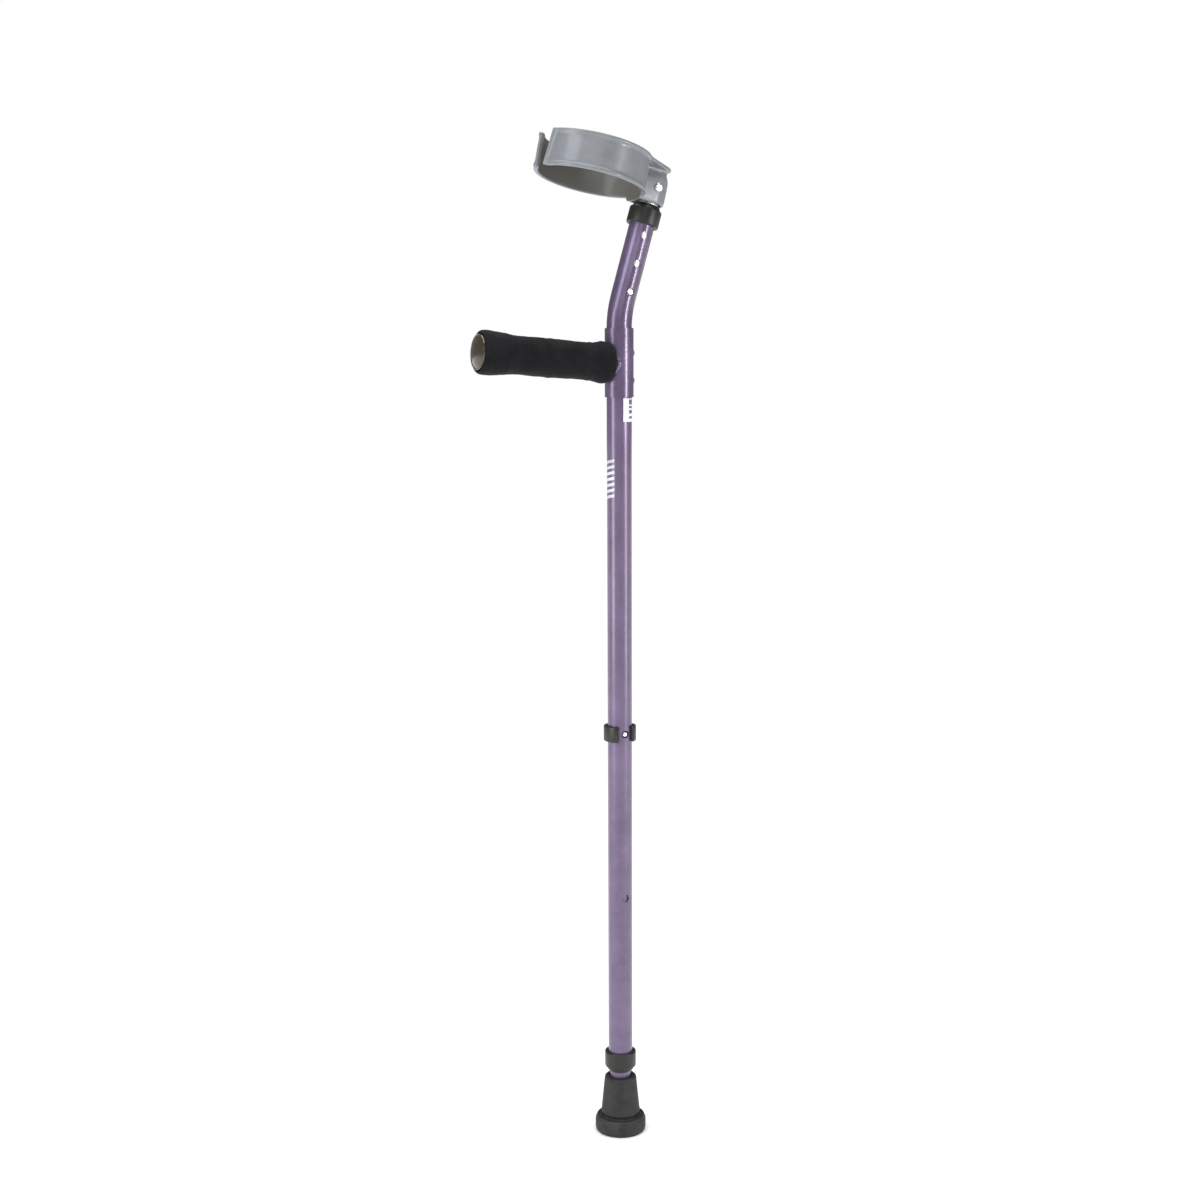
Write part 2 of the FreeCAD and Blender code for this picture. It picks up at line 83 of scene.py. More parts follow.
handle_frame = standing(handle_root, handle_rise - math.pi / 2)
cuff_frame = standing(bolt, cuff_lean)
bend_height = bolt.z - bolt.x / math.tan(forearm_lean)
print("bolt at", [round(v, 4) for v in bolt])
print("the forearm stretch leans", round(math.degrees(forearm_lean), 1), "degrees")

# %% [markdown]
# ## The camera and the studio
# The crutch stands in a pale studio. The camera is at the height of the handgrip, looks down a little,
# and stands about 26 degrees round from the side that the adjustment holes face. A normal lens from a
# metre and a half away keeps the upright straight.

# %% Camera
camera_place = Vector((-0.6719, -1.3187, 0.689))
camera_turn = math.radians(26.32)
camera_pitch = math.radians(7.4)
camera_roll = math.radians(-0.2)
level = math.cos(camera_pitch)
look = Vector((math.sin(camera_turn) * level, math.cos(camera_turn) * level, -math.sin(camera_pitch)))
bpy.ops.object.camera_add(location=camera_place)
camera = bpy.context.object
camera.name = "studio_camera"
aimed = look.to_track_quat("-Z", "Y").to_matrix()
camera.rotation_euler = (aimed @ Matrix.Rotation(camera_roll, 3, "Z")).to_euler()
camera.data.lens = 50.0
camera.data.sensor_width = 36.0
camera.data.clip_end = 60
bpy.context.scene.camera = camera
bpy.context.scene.view_settings.view_transform = "Standard"
print("camera", round(math.hypot(camera_place.x, camera_place.y), 3), "m from the upright")

# %% [markdown]
# Soft boxes stand well out to the left and right, and draw the two long streaks that a painted tube
# shows. The narrow one on the right makes the crisp streak. A cool box high on the left picks out the
# beads of the cuff and the leaning stretch under it, and a faint one in front fills the shade. A wide
# overhead light only whitens the floor: light from straight above hardly touches upright sides. The sky
# is pale for the eye and dimmer for reflections, so that the tube's sides fall off into shade.

# %% Lights
def soft_box(name, turn, distance, height, width, tall, power, aim):
    """A rectangular light, turned from the holes' side towards the handle and aimed at the upright."""
    angle = math.radians(turn)
    place = Vector((-math.sin(angle) * distance, -math.cos(angle) * distance, height))
    bpy.ops.object.light_add(type="AREA", location=place)
    lamp = bpy.context.object
    lamp.name = name
    lamp.rotation_euler = (Vector((0, 0, aim)) - place).to_track_quat("-Z", "Y").to_euler()
    lamp.data.shape = "RECTANGLE"
    lamp.data.size = width
    lamp.data.size_y = tall
    lamp.data.energy = power
    return lamp


soft_box("right_strip", turn=-31, distance=1.9, height=0.80, width=0.20, tall=0.40, power=6, aim=0.7)
soft_box("right_box", turn=-36, distance=2.3, height=0.45, width=0.75, tall=1.0, power=9, aim=0.4)
soft_box("left_box", turn=86, distance=1.9, height=0.70, width=0.75, tall=1.2, power=12, aim=0.5)
soft_box("front_fill", turn=25, distance=2.6, height=1.7, width=1.6, tall=1.2, power=7, aim=0.4)
high_box = soft_box("high_box", turn=70, distance=1.9, height=1.70, width=1.00,
                    tall=0.80, power=11, aim=0.86)
high_box.data.color = (0.86, 0.92, 1.0)
bpy.ops.object.light_add(type="SUN", location=(0, 0, 3))
overhead = bpy.context.object
overhead.name = "overhead"
overhead.data.energy = 3.15
overhead.data.angle = math.radians(70)

# %% Sky
world = bpy.data.worlds.new("studio_sky")
bpy.context.scene.world = world
world.use_nodes = True
sky = world.node_tree
dim = sky.nodes["Background"]
dim.inputs["Color"].default_value = (0.95, 0.97, 1.0, 1)
dim.inputs["Strength"].default_value = 0.18
bright = sky.nodes.new("ShaderNodeBackground")
bright.inputs["Color"].default_value = (1, 1, 1, 1)
bright.inputs["Strength"].default_value = 1.0
path = sky.nodes.new("ShaderNodeLightPath")
either = sky.nodes.new("ShaderNodeMixShader")
sky.links.new(path.outputs["Is Camera Ray"], either.inputs["Fac"])
sky.links.new(dim.outputs["Background"], either.inputs[1])
sky.links.new(bright.outputs["Background"], either.inputs[2])
sky.links.new(either.outputs["Shader"], sky.nodes["World Output"].inputs["Surface"])

# %% [markdown]
# ## Small helpers for materials
# Every finish is a Principled shader with noise for its colour, its gloss and its small bumps. The
# patterns read Object coordinates in metres, so a scale of 1000 is a grain of about a millimetre.

# %% Material helpers
def new_finish(name):
    """A material with its shader and the coordinates that its patterns read."""
    material = bpy.data.materials.new(name)
    material.use_nodes = True
    tree = material.node_tree
    coordinates = tree.nodes.new("ShaderNodeTexCoord")
    return material, tree, tree.nodes["Principled BSDF"], coordinates.outputs["Object"]


def add_node(tree, kind, links=(), **values):
    """A node with its sockets set by name and joined to the outputs given in links."""
    node = tree.nodes.new("ShaderNode" + kind)
    for name, value in values.items():
        socket = name.replace("_", " ")
        if socket in node.inputs:
            node.inputs[socket].default_value = value
        else:
            setattr(node, name, value)
    for socket, output in links:
        tree.links.new(output, node.inputs[socket])
    return node


def sums(tree, operation, first, second):
    """A Math node on two values, each an output or a number."""
    node = tree.nodes.new("ShaderNodeMath")
    node.operation = operation
    for socket, value in zip(node.inputs, (first, second)):
        if isinstance(value, (int, float)):
            socket.default_value = value
        else:
            tree.links.new(value, socket)
    return node.outputs["Value"]


def ramp(tree, factor, *stops):
    """A colour ramp through (place, colour) stops, or grey where a stop's colour is a number."""
    node = tree.nodes.new("ShaderNodeValToRGB")
    tree.links.new(factor, node.inputs["Fac"])
    spots = node.color_ramp.elements
    while len(spots) < len(stops):
        spots.new(1.0)
    for spot, (place, colour) in zip(spots, stops):
        grey = isinstance(colour, (int, float))
        spot.position = place
        spot.color = (colour, colour, colour, 1) if grey else (*colour, 1)
    return node.outputs["Color"]


def blend_colours(tree, factor, first, second):
    """Mix two colours, each an output or an (r, g, b)."""
    node = tree.nodes.new("ShaderNodeMix")
    node.data_type = "RGBA"
    tree.links.new(factor, node.inputs["Factor"])
    for socket, value in ((node.inputs[6], first), (node.inputs[7], second)):
        if isinstance(value, tuple):
            socket.default_value = (*value, 1)
        else:
            tree.links.new(value, socket)
    return node.outputs[2]


def noise(tree, where, scale, detail=3.0, roughness=0.5):
    """Cloudy values between 0 and 1."""
    cloud = add_node(tree, "TexNoise", [("Vector", where)], Scale=scale, Detail=detail, Roughness=roughness)
    return cloud.outputs["Fac"]


def stretched(tree, where, scale, turn=(0, 0, 0)):
    """Coordinates squeezed along some axes, which draws a pattern out into streaks."""
    return add_node(tree, "Mapping", [("Vector", where)], Scale=scale, Rotation=turn).outputs["Vector"]


def bumps(tree, shader, height, distance, strength=1.0):
    """Small relief: the height runs from 0 to 1 and stands for a distance in metres."""
    node = add_node(tree, "Bump", [("Height", height)], Strength=strength, Distance=distance)
    tree.links.new(node.outputs["Normal"], shader.inputs["Normal"])


def steady(shader, **values):
    """Numbers that are the same all over a surface go straight on the shader."""
    for name, value in values.items():
        shader.inputs[name.replace("_", " ")].default_value = value


# %% [markdown]
# ## Purple paint
# The tubes are aluminium with a metallic purple paint. Such paint is a coloured coat full of tiny
# bright flakes under a clear layer. Cells of about a fifth of a millimetre give the flakes, a fine
# noise gives the slight orange peel, and the shader's coat is the clear layer. The paint is only on the
# outside, so the bore is bare metal.

# %% Paint
PURPLE_DEEP = (0.094, 0.060, 0.127)
PURPLE_LIGHT = (0.146, 0.098, 0.190)
FLAKE = (0.46, 0.38, 0.56)
BARE_METAL = (0.62, 0.63, 0.65)


def painted(name, bore_edge=None, rubbed=0.0):
    """Metallic paint; inside the radius bore_edge of either tube line it is bare metal."""
    material, tree, shader, where = new_finish(name)
    cloudy = noise(tree, where, 45, 4.0)
    coat = ramp(tree, cloudy, (0.3, PURPLE_DEEP), (0.7, PURPLE_LIGHT))
    cells = add_node(tree, "TexVoronoi", [("Vector", where)], Scale=4800.0)
    lottery = add_node(tree, "SeparateColor", [("Color", cells.outputs["Color"])]).outputs["Red"]
    lucky = ramp(tree, lottery, (0.62, 0.0), (1.0, 0.24))
    colour = blend_colours(tree, lucky, coat, FLAKE)
    if rubbed:
        streaks = noise(tree, stretched(tree, where, (1.0, 1.0, 0.03)), 2600, 2.0)
        worn = sums(tree, "MULTIPLY", ramp(tree, streaks, (0.60, 0.0), (0.72, 1.0)), rubbed)
        colour = blend_colours(tree, worn, colour, BARE_METAL)
    if bore_edge:
        inside = sums(tree, "LESS_THAN", tube_distance(tree, where), bore_edge)
        colour = blend_colours(tree, inside, colour, BARE_METAL)
    tree.links.new(colour, shader.inputs["Base Color"])
    gloss = noise(tree, where, 320, 3.0)
    tree.links.new(ramp(tree, gloss, (0.2, 0.30), (0.8, 0.44)), shader.inputs["Roughness"])
    steady(shader, Metallic=0.45, Coat_Weight=0.8, Coat_Roughness=0.14)
    bumps(tree, shader, noise(tree, where, 700, 2.0), 0.00004, 0.6)
    return material


def tube_distance(tree, where):
    """How far a point is from the upright's line, or from the forearm's line beyond the bend."""
    apart = []
    for on_line, along in ((Vector((0, 0, 0)), Vector((0, 0, 1))), (bolt, forearm_up)):
        offset = add_node(tree, "VectorMath", [(0, where)], operation="SUBTRACT")
        offset.inputs[1].default_value = on_line
        across = add_node(tree, "VectorMath", [(0, offset.outputs[0])], operation="CROSS_PRODUCT")
        across.inputs[1].default_value = along
        length = add_node(tree, "VectorMath", [(0, across.outputs[0])], operation="LENGTH")
        apart.append(length.outputs["Value"])
    half_bend = forearm_lean / 2
    climb = add_node(tree, "VectorMath", [(0, where)], operation="DOT_PRODUCT")
    climb.inputs[1].default_value = (math.sin(half_bend), 0, math.cos(half_bend))
    beyond = sums(tree, "GREATER_THAN", climb.outputs["Value"], bend_height * math.cos(half_bend))
    step = sums(tree, "SUBTRACT", apart[1], apart[0])
    return sums(tree, "ADD", apart[0], sums(tree, "MULTIPLY", beyond, step))


paint = painted("purple_paint")
main_bore_edge, leg_bore_edge = 9.95 * MM, 8.9 * MM
tube_paint = painted("purple_paint_tube", bore_edge=main_bore_edge)
leg_paint = painted("purple_paint_leg", bore_edge=leg_bore_edge, rubbed=0.25)
print("paint:", [m.name for m in (paint, tube_paint, leg_paint)])

# %% [markdown]
# ## Bright metal
# The post under the cuff is drawn aluminium: fine lines run along it. The bolt, pin, nut and spring are
# zinc-plated steel, which is smoother and a little bluer, with faint blotches from the plating bath.

# %% Metals
def drawn_metal(name, colour, dark, grain, along, rough):
    """Metal with fine lines along one direction; along is the lean of the lines about Y."""
    material, tree, shader, where = new_finish(name)
    upright = stretched(tree, where, (1, 1, 1), (0, -along, 0))
    lines = noise(tree, stretched(tree, upright, (1, 1, 0.02)), grain, 4.0)
    blotch = noise(tree, where, 160, 3.0)
    tone = ramp(tree, blotch, (0.3, dark), (0.7, colour))
    tree.links.new(tone, shader.inputs["Base Color"])
    tree.links.new(ramp(tree, lines, (0.3, rough), (0.7, rough + 0.16)), shader.inputs["Roughness"])
    steady(shader, Metallic=1.0)
    bumps(tree, shader, lines, 0.00003, 0.5)
    return material


post_metal = drawn_metal("drawn_aluminium", (0.90, 0.91, 0.92), (0.80, 0.81, 0.83),
                         grain=2000, along=forearm_lean, rough=0.30)
plated = drawn_metal("zinc_plated_steel", (0.86, 0.87, 0.89), (0.70, 0.72, 0.75),
                     grain=1500, along=0.0, rough=0.16)

# %% [markdown]
# ## Plastics and rubber
# The collars and the clip are black nylon with a soft sheen. The cuff is a semi-gloss grey
# polypropylene, the same colour right through, with a faint mottle and a slightly glossier skin where
# the mould was polished. The foot is dull grey-black rubber with a bloom of dust, and the grip's end
# cap is a glossy olive plug.

# %% Moulded finishes
def moulded(name, dark, light, rough, grain, depth, coat=0.0, mottle=60.0, sheen=0.5):
    """A moulding: two close tones, uneven gloss and a fine skin texture."""
    material, tree, shader, where = new_finish(name)
    cloudy = noise(tree, where, mottle, 5.0, 0.6)
    tree.links.new(ramp(tree, cloudy, (0.32, dark), (0.68, light)), shader.inputs["Base Color"])
    skin = noise(tree, where, grain, 3.0)
    patches = sums(tree, "MULTIPLY", noise(tree, where, mottle * 0.5, 2.0), 0.5)
    uneven = sums(tree, "ADD", patches, sums(tree, "MULTIPLY", skin, 0.5))
    tree.links.new(ramp(tree, uneven, (0.3, rough), (0.7, rough + 0.14)), shader.inputs["Roughness"])
    steady(shader, Specular_IOR_Level=sheen, Coat_Weight=coat, Coat_Roughness=0.14)
    bumps(tree, shader, skin, depth, 0.7)
    return material


nylon = moulded("black_nylon", (0.007, 0.0075, 0.0055), (0.0155, 0.016, 0.012),
                rough=0.30, grain=2200, depth=0.00003)
grey_plastic = moulded("grey_polypropylene", (0.176, 0.184, 0.198), (0.220, 0.229, 0.246),
                       rough=0.27, grain=1500, depth=0.000025, coat=0.3)
rubber = moulded("foot_rubber", (0.015, 0.015, 0.0145), (0.037, 0.036, 0.034),
                 rough=0.58, grain=1700, depth=0.00007, mottle=90.0, sheen=0.35)
cap_plastic = moulded("olive_cap", (0.026, 0.021, 0.009), (0.044, 0.035, 0.016),
                      rough=0.16, grain=2600, depth=0.00001, coat=0.7)
core_plastic = moulded("core_plastic", (0.014, 0.014, 0.014), (0.024, 0.024, 0.024),
                       rough=0.45, grain=1800, depth=0.00003)

# %% [markdown]
# ## Finishes on the frame's own nodes
# The tubes, the sleeve, the rivets, the post and the small steel parts have the right shape already, so
# they only get their finish in their material slot.

# %% Dress the metal nodes
finish_of = {
    "main_tube": tube_paint, "handle_sleeve": paint, "sleeve_rivets": paint, "handle_bar": paint,
    "leg_tube": leg_paint, "cuff_post": post_metal, "cuff_spring_button": plated, "leg_clip_pin": plated,
    "cuff_bolt": plated, "cuff_nut": plated, "ferrule_washer": plated, "grip_core": core_plastic,
}
for name, finish in finish_of.items():
    nodes[name].material_slots[0].material = finish
print("dressed", len(finish_of), "nodes")

# %% [markdown]
# ## Modelling helpers
# Turned shapes start as one ring of vertices, which is extruded and resized ring by ring, as one would
# by hand. Swept shapes start as a flat section, whose corners are moved to the section's outline before
# it is spun.

# %% Shape helpers
def edit(piece):
    """Go into edit mode on one piece with everything selected."""
    bpy.ops.object.select_all(action="DESELECT")
    piece.select_set(True)
    bpy.context.view_layer.objects.active = piece
    bpy.ops.object.mode_set(mode="EDIT")
    bpy.ops.mesh.select_mode(type="VERT")
    bpy.ops.mesh.select_all(action="SELECT")


def tidy(piece, close=1e-6):
    """Merge what coincides and turn every face outwards."""
    edit(piece)
    bpy.ops.mesh.remove_doubles(threshold=close)
    bpy.ops.mesh.normals_make_consistent(inside=False)
    bpy.ops.object.mode_set(mode="OBJECT")


def turned(name, rings, segments=96, hollow=False):
    """Raise a ring through (radius, height) steps in mm; a hollow shape closes on its first ring."""
    radius, height = rings[0]
    bpy.ops.object.select_all(action="DESELECT")
    fill = "NOTHING" if hollow else "NGON"
    bpy.ops.mesh.primitive_circle_add(vertices=segments, radius=radius * MM, fill_type=fill)
    piece = bpy.context.object
    piece.name = name
    piece.data.transform(Matrix.Translation((0, 0, height * MM)))
    edit(piece)
    for next_radius, next_height in rings[1:]:
        rise = (0, 0, (next_height - height) * MM)
        bpy.ops.mesh.extrude_region_move(TRANSFORM_OT_translate={"value": rise})
        share = next_radius / radius
        middle = (0, 0, next_height * MM)
        bpy.ops.transform.resize(value=(share, share, 1), center_override=middle)
        radius, height = next_radius, next_height
    if hollow:
        bpy.ops.mesh.select_all(action="DESELECT")
        bpy.ops.mesh.select_non_manifold()
        bpy.ops.mesh.bridge_edge_loops()
    bpy.ops.object.mode_set(mode="OBJECT")
    tidy(piece)
    return piece


def apply_modifier(piece, kind, **settings):
    """Add a modifier, set it and apply it at once."""
    bpy.ops.object.select_all(action="DESELECT")
    piece.select_set(True)
    bpy.context.view_layer.objects.active = piece
    modifier = piece.modifiers.new(kind.title(), kind)
    for name, value in settings.items():
        setattr(modifier, name, value)
    bpy.ops.object.modifier_apply(modifier=modifier.name)


def soften(piece, width, segments=3, angle=30):
    """Round every edge that is sharper than an angle."""
    apply_modifier(piece, "BEVEL", width=width * MM, segments=segments, limit_method="ANGLE",
                   angle_limit=math.radians(angle), use_clamp_overlap=True)


def finished(piece, body, material, replaced=(), place=None, angle=35):
    """Put a piece in its place, smooth it, give it its finish and let it ride."""
    if place is not None:
        piece.data.transform(place)
    piece.data.materials.clear()
    piece.data.materials.append(material)
    bpy.ops.object.select_all(action="DESELECT")
    piece.select_set(True)
    bpy.context.view_layer.objects.active = piece
    bpy.ops.object.shade_smooth_by_angle(angle=math.radians(angle))
    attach(piece, body)
    if replaced:
        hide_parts(*replaced)
    triangles = sum(len(face.vertices) - 2 for face in piece.data.polygons)
    print(piece.name, "rides on", body, "with", triangles, "triangles")
    return piece


# %% [markdown]
# ## The rubber foot
# A crutch foot is one rubber moulding: a cone that grips the leg, a dished ledge, and a wide flange
# with a tread of rings underneath that bites on wet floors. It is a turned shape, so it is raised ring
# by ring, from the bottom of its bore up, over the rim, down the cone and the flange, and across the
# tread to the middle of the sole.

# %% Rubber foot
bore_rings = [(9.585, 8.0), (9.585, 51.2), (10.2, 52.0), (13.3, 52.0), (14.3, 51.2)]
cone_rings = [(14.72, 49.6), (14.86, 48.3), (14.62, 47.9), (14.92, 47.5), (15.05, 46.3), (14.80, 45.9)]
cone_rings += [(15.10, 45.5), (16.55, 31.0), (17.75, 19.4), (17.95, 18.3), (17.7, 17.5)]
ledge_rings = [(16.6, 16.9), (16.2, 15.6), (16.9, 14.7), (18.1, 14.9), (18.5, 15.5), (18.9, 15.3)]
ledge_rings += [(18.9, 13.7), (19.4, 13.0), (20.1, 13.2), (20.6, 14.2), (21.1, 14.5), (21.8, 13.9)]
flange_rings = [(22.5, 12.5), (23.1, 11.0), (23.3, 9.4), (23.1, 9.0), (23.3, 8.6), (23.3, 6.6), (23.1, 6.2)]
flange_rings += [(23.3, 5.8), (23.3, 3.5), (22.8, 1.3), (21.6, 0.0)]
tread_rings = []
for outer in (19.4, 14.6, 9.8):
    tread_rings += [(outer, 0.0), (outer - 0.3, 1.4), (outer - 2.1, 1.4), (outer - 2.4, 0.0)]
tread_rings += [(4.0, 0.0), (3.6, 0.9)]
foot = turned("rubber_foot", bore_rings + cone_rings + ledge_rings + flange_rings + tread_rings, 128)
soften(foot, 0.22, 2, 28)
finished(foot, "leg", rubber, ["ferrule"])

# %% [markdown]
# ## The two collars
# A black nylon collar is pushed over the open end of each tube and keeps the inner tube from rattling.
# It has a wide skirt over the painted tube, a step, and a tapered lip round the tube that slides. Both
# ends of the crutch use the same moulding, so it is modelled once and copied, and the lower one is
# turned upside down.

# %% Collars
skirt = [(11.2125, 13.6), (11.2125, 0.35), (11.6, 0.0), (13.8, 0.0), (14.3, 0.5), (14.3, 13.6)]
skirt += [(14.0, 14.2)]
step = [(13.4, 14.5), (12.9, 14.5), (12.6, 14.9), (12.15, 16.2), (12.0, 16.3), (11.95, 16.6), (11.5, 17.8)]
lip = [(11.2, 18.0), (10.0, 18.0), (9.675, 17.7), (9.675, 13.6)]
collar = turned("forearm_collar", skirt + step + lip, 96, hollow=True)
soften(collar, 0.12, 2, 25)
bpy.ops.object.select_all(action="DESELECT")
collar.select_set(True)
bpy.ops.object.duplicate()
lower = bpy.context.selected_objects[0]
lower.name = "leg_collar"
upside_down = Matrix.Translation((0, 0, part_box("lower_collar")[1].z)) @ Matrix.Rotation(math.pi, 4, "X")
finished(lower, "frame", nylon, ["lower_collar"], upside_down)
collar_below_bolt = 33.3
up_collar = standing(bolt - forearm_up * collar_below_bolt * MM, forearm_lean)
finished(collar, "frame", nylon, ["upper_collar"], up_collar)

# %% [markdown]
# ## The snap clip
# The clip is a springy C of nylon that hugs the tube and carries the locking pin. A flat section with
# rounded outer corners is spun most of the way round the tube. Its two tips are rounded, so that it
# rides up over the tube.

# %% Section helper
def section(name, corners, facing="Y"):
    """A flat face whose corners are (across, up) in millimetres, standing in the XZ plane."""
    bpy.ops.object.select_all(action="DESELECT")
    bpy.ops.mesh.primitive_circle_add(vertices=len(corners), radius=MM, fill_type="NGON")
    piece = bpy.context.object
    piece.name = name
    for vertex, (across, up) in zip(piece.data.vertices, corners):
        vertex.co = (across * MM, 0, up * MM) if facing == "Y" else (across * MM, up * MM, 0)
    return piece


# %% Snap clip
clip_low, clip_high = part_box("leg_clip")
clip_middle = (clip_low.z + clip_high.z) / 2 / MM
clip_half = (clip_high.z - clip_low.z) / 2 / MM
inner, outer = 11.41, 14.71
clip_corners = [(inner, -clip_half + 0.4), (inner + 0.4, -clip_half), (outer - 0.9, -clip_half)]
clip_corners += [(outer - 0.25, -clip_half + 0.3), (outer, -clip_half + 1.0), (outer, clip_half - 1.0)]
clip_corners += [(outer - 0.25, clip_half - 0.3), (outer - 0.9, clip_half), (inner + 0.4, clip_half)]
clip_corners += [(inner, clip_half - 0.4)]
clip = section("snap_clip", [(across, clip_middle + up) for across, up in clip_corners])
opening = math.radians(62)
clip.data.transform(Matrix.Rotation(-math.pi / 2 + opening / 2, 4, "Z"))
edit(clip)
bpy.ops.mesh.spin(steps=96, angle=opening - 2 * math.pi, center=(0, 0, 0), axis=(0, 0, 1))
bpy.ops.object.mode_set(mode="OBJECT")
tidy(clip)
soften(clip, 0.5, 3, 60)
finished(clip, "leg_clip", nylon, ["leg_clip"])

# %% [markdown]
# ## The arm cuff: its band
# The cuff is one moulding in grey plastic: an open band that hugs the forearm, and behind it a housing
# that grips the post. The band has a thicker bead along its upper and lower rims, and its two ends turn
# outwards so that they don't dig in. One flat section with both beads is spun round the arm's axis, and
# each end is spun on round an outer pivot.

# %% Cuff band
band_centre, band_inner, band_outer, bead = -59.5, 45.0, 48.0, 1.2
band_low, band_high = -11.0, 20.8
mouth = math.radians(19)
lip_pivot, lip_turn = 54.5, math.radians(50)
rim = band_outer + bead
profile = [(band_inner, band_low + 0.9), (band_inner + 0.9, band_low), (rim - 1.0, band_low)]
profile += [(rim - 0.3, band_low + 0.3), (rim, band_low + 1.0), (rim, band_low + 2.4)]
profile += [(rim - 0.3, band_low + 3.1), (band_outer, band_low + 3.8), (band_outer, band_high - 3.8)]
profile += [(rim - 0.3, band_high - 3.1), (rim, band_high - 2.4), (rim, band_high - 1.0)]
profile += [(rim - 0.3, band_high - 0.3), (rim - 1.0, band_high)]
profile += [(band_inner + 0.9, band_high), (band_inner, band_high - 0.9)]
cuff = section("arm_cuff", profile)
cuff.data.transform(Matrix.Rotation(math.pi - mouth, 4, "Z"))


def pick_faces(piece, wanted):
    """Select only the faces for which wanted(face) is true, and stay in edit mode."""
    bpy.ops.mesh.select_all(action="DESELECT")
    bpy.ops.object.mode_set(mode="OBJECT")
    for face in piece.data.polygons:
        face.select = wanted(face)
    bpy.ops.object.mode_set(mode="EDIT")
    bpy.ops.mesh.select_mode(type="FACE")


def end_face(side):
    """True for the flat face that closes the band at the mouth, on one side."""
    across = Vector((-math.sin(math.pi - side * mouth), math.cos(math.pi - side * mouth), 0))
    return lambda face: len(face.vertices) == len(profile) and face.normal.dot(across) * side > 0.9


edit(cuff)
bpy.ops.mesh.spin(steps=150, angle=2 * math.pi - 2 * mouth, center=(0, 0, 0), axis=(0, 0, 1))
bpy.ops.object.mode_set(mode="OBJECT")
tidy(cuff)
for side in (1, -1):
    edit(cuff)
    pick_faces(cuff, end_face(side))
    angle = math.pi - side * mouth
    pivot = (math.cos(angle) * lip_pivot * MM, math.sin(angle) * lip_pivot * MM, 0)
    bpy.ops.mesh.spin(steps=22, angle=side * lip_turn, center=pivot, axis=(0, 0, 1))
    bpy.ops.object.mode_set(mode="OBJECT")
tidy(cuff)
print("band with lips:", len(cuff.data.polygons), "faces")

# %% [markdown]
# The tips of the lips have rounded corners. The section stays the same along a spin, so the last few
# rings are squeezed a little in height, more towards the tip, which is what a round corner is. Both
# ends are also cut a little aslant, with the upper edge drawn back along the band.

# %% Round the lips' corners
tip_start, tip_squeeze, tip_length = 2.0, 0.03, 2.4
inside_rim, end_slant, slant_length = 3.6, 2.4, 0.30
slant_from = math.pi - mouth - slant_length
band_middle = (band_low + band_high) / 2 * MM
half_band = band_high - band_middle / MM
for vertex in cuff.data.vertices:
    angle = abs(math.atan2(vertex.co.y, vertex.co.x))
    past = (math.hypot(vertex.co.x, vertex.co.y) / MM - rim)
    if angle > math.pi - mouth - 0.01 and past > -inside_rim:
        along = max(0.0, (angle - (math.pi - mouth)) * band_outer + max(0.0, past) - tip_start)
        squeeze = min(1.0, along / tip_length) ** 2 * tip_squeeze
        vertex.co.z = band_middle + (vertex.co.z - band_middle) * (1 - squeeze)
    if angle > slant_from:
        share = min(1.0, (angle - slant_from) / slant_length) * (vertex.co.z - band_middle) / half_band
        drawn_back = share * end_slant / band_outer / MM * math.copysign(1, -vertex.co.y)
        vertex.co = Matrix.Rotation(drawn_back, 3, "Z") @ vertex.co
cuff.data.transform(Matrix.Translation((band_centre * MM, 0, 0)))

# %% [markdown]
# ## The arm cuff: its housing
# Behind the band a D-shaped block takes the post. Seen from the side its back swells round the bolt,
# draws in to a waist, and spreads again into a flat roof that runs out to both sides of the band. The
# block is raised ring by ring from a D-shaped outline, the roof is a flat plate, and the pocket for the
# post is hollowed out from below.

# %% Housing, roof and pocket
rear = 0.4


def d_outline(radius, front, steps=28):
    """Corners of a D with its round side behind, in millimetres."""
    turns = [math.pi * (step / steps - 0.5) for step in range(steps + 1)]
    curve = [(rear + radius * math.cos(turn), radius * math.sin(turn)) for turn in turns]
    return [(front, -radius)] + curve + [(front, radius)]


def raised(name, corners, rings):
    """Raise a flat outline through (share of its size, height) rings, about the post's line."""
    piece = section(name, corners, facing="Z")
    share, height = rings[0]
    piece.data.transform(Matrix.Translation((0, 0, height * MM)))
    edit(piece)
    for next_share, next_height in rings[1:]:
        rise = (0, 0, (next_height - height) * MM)
        bpy.ops.mesh.extrude_region_move(TRANSFORM_OT_translate={"value": rise})
        size = next_share / share
        bpy.ops.transform.resize(value=(size, size, 1), center_override=(rear * MM, 0, next_height * MM))
        share, height = next_share, next_height
    bpy.ops.object.mode_set(mode="OBJECT")
    tidy(piece)
    return piece


side_view = [(12.2, -14.0), (12.8, -13.0), (13.0, -9.0), (13.1, -4.0), (13.1, 3.0), (12.9, 7.0)]
side_view += [(12.2, 9.8), (11.2, 11.6), (10.6, 13.2), (10.5, 15.0), (10.8, 16.1), (11.6, 16.7)]
side_view += [(13.2, 16.9), (13.5, 17.4), (13.5, 19.4), (13.0, 20.0)]
housing = raised("housing", d_outline(12.2, -17.0), [(radius / 12.2, up) for radius, up in side_view])
roof_front, roof_front_half, roof_back, roof_back_half = -22.73, 30.85, 6.9, 11.6
roof_corners = [(roof_front, -roof_front_half), (roof_back, -roof_back_half), (roof_back, roof_back_half)]
roof_corners += [(roof_front, roof_front_half)]
roof = raised("roof", roof_corners, [(1, 16.8), (1, 20.0)])
pocket_rings = [(1, -16.0), (1, 9.0), (0.755, 10.0), (0.755, 16.8)]
pocket = raised("pocket", d_outline(10.625, -12.2), pocket_rings)
arm_middle = (band_centre * MM, 0, 0)
bpy.ops.mesh.primitive_cylinder_add(vertices=220, radius=band_inner * MM, depth=0.2, location=arm_middle)
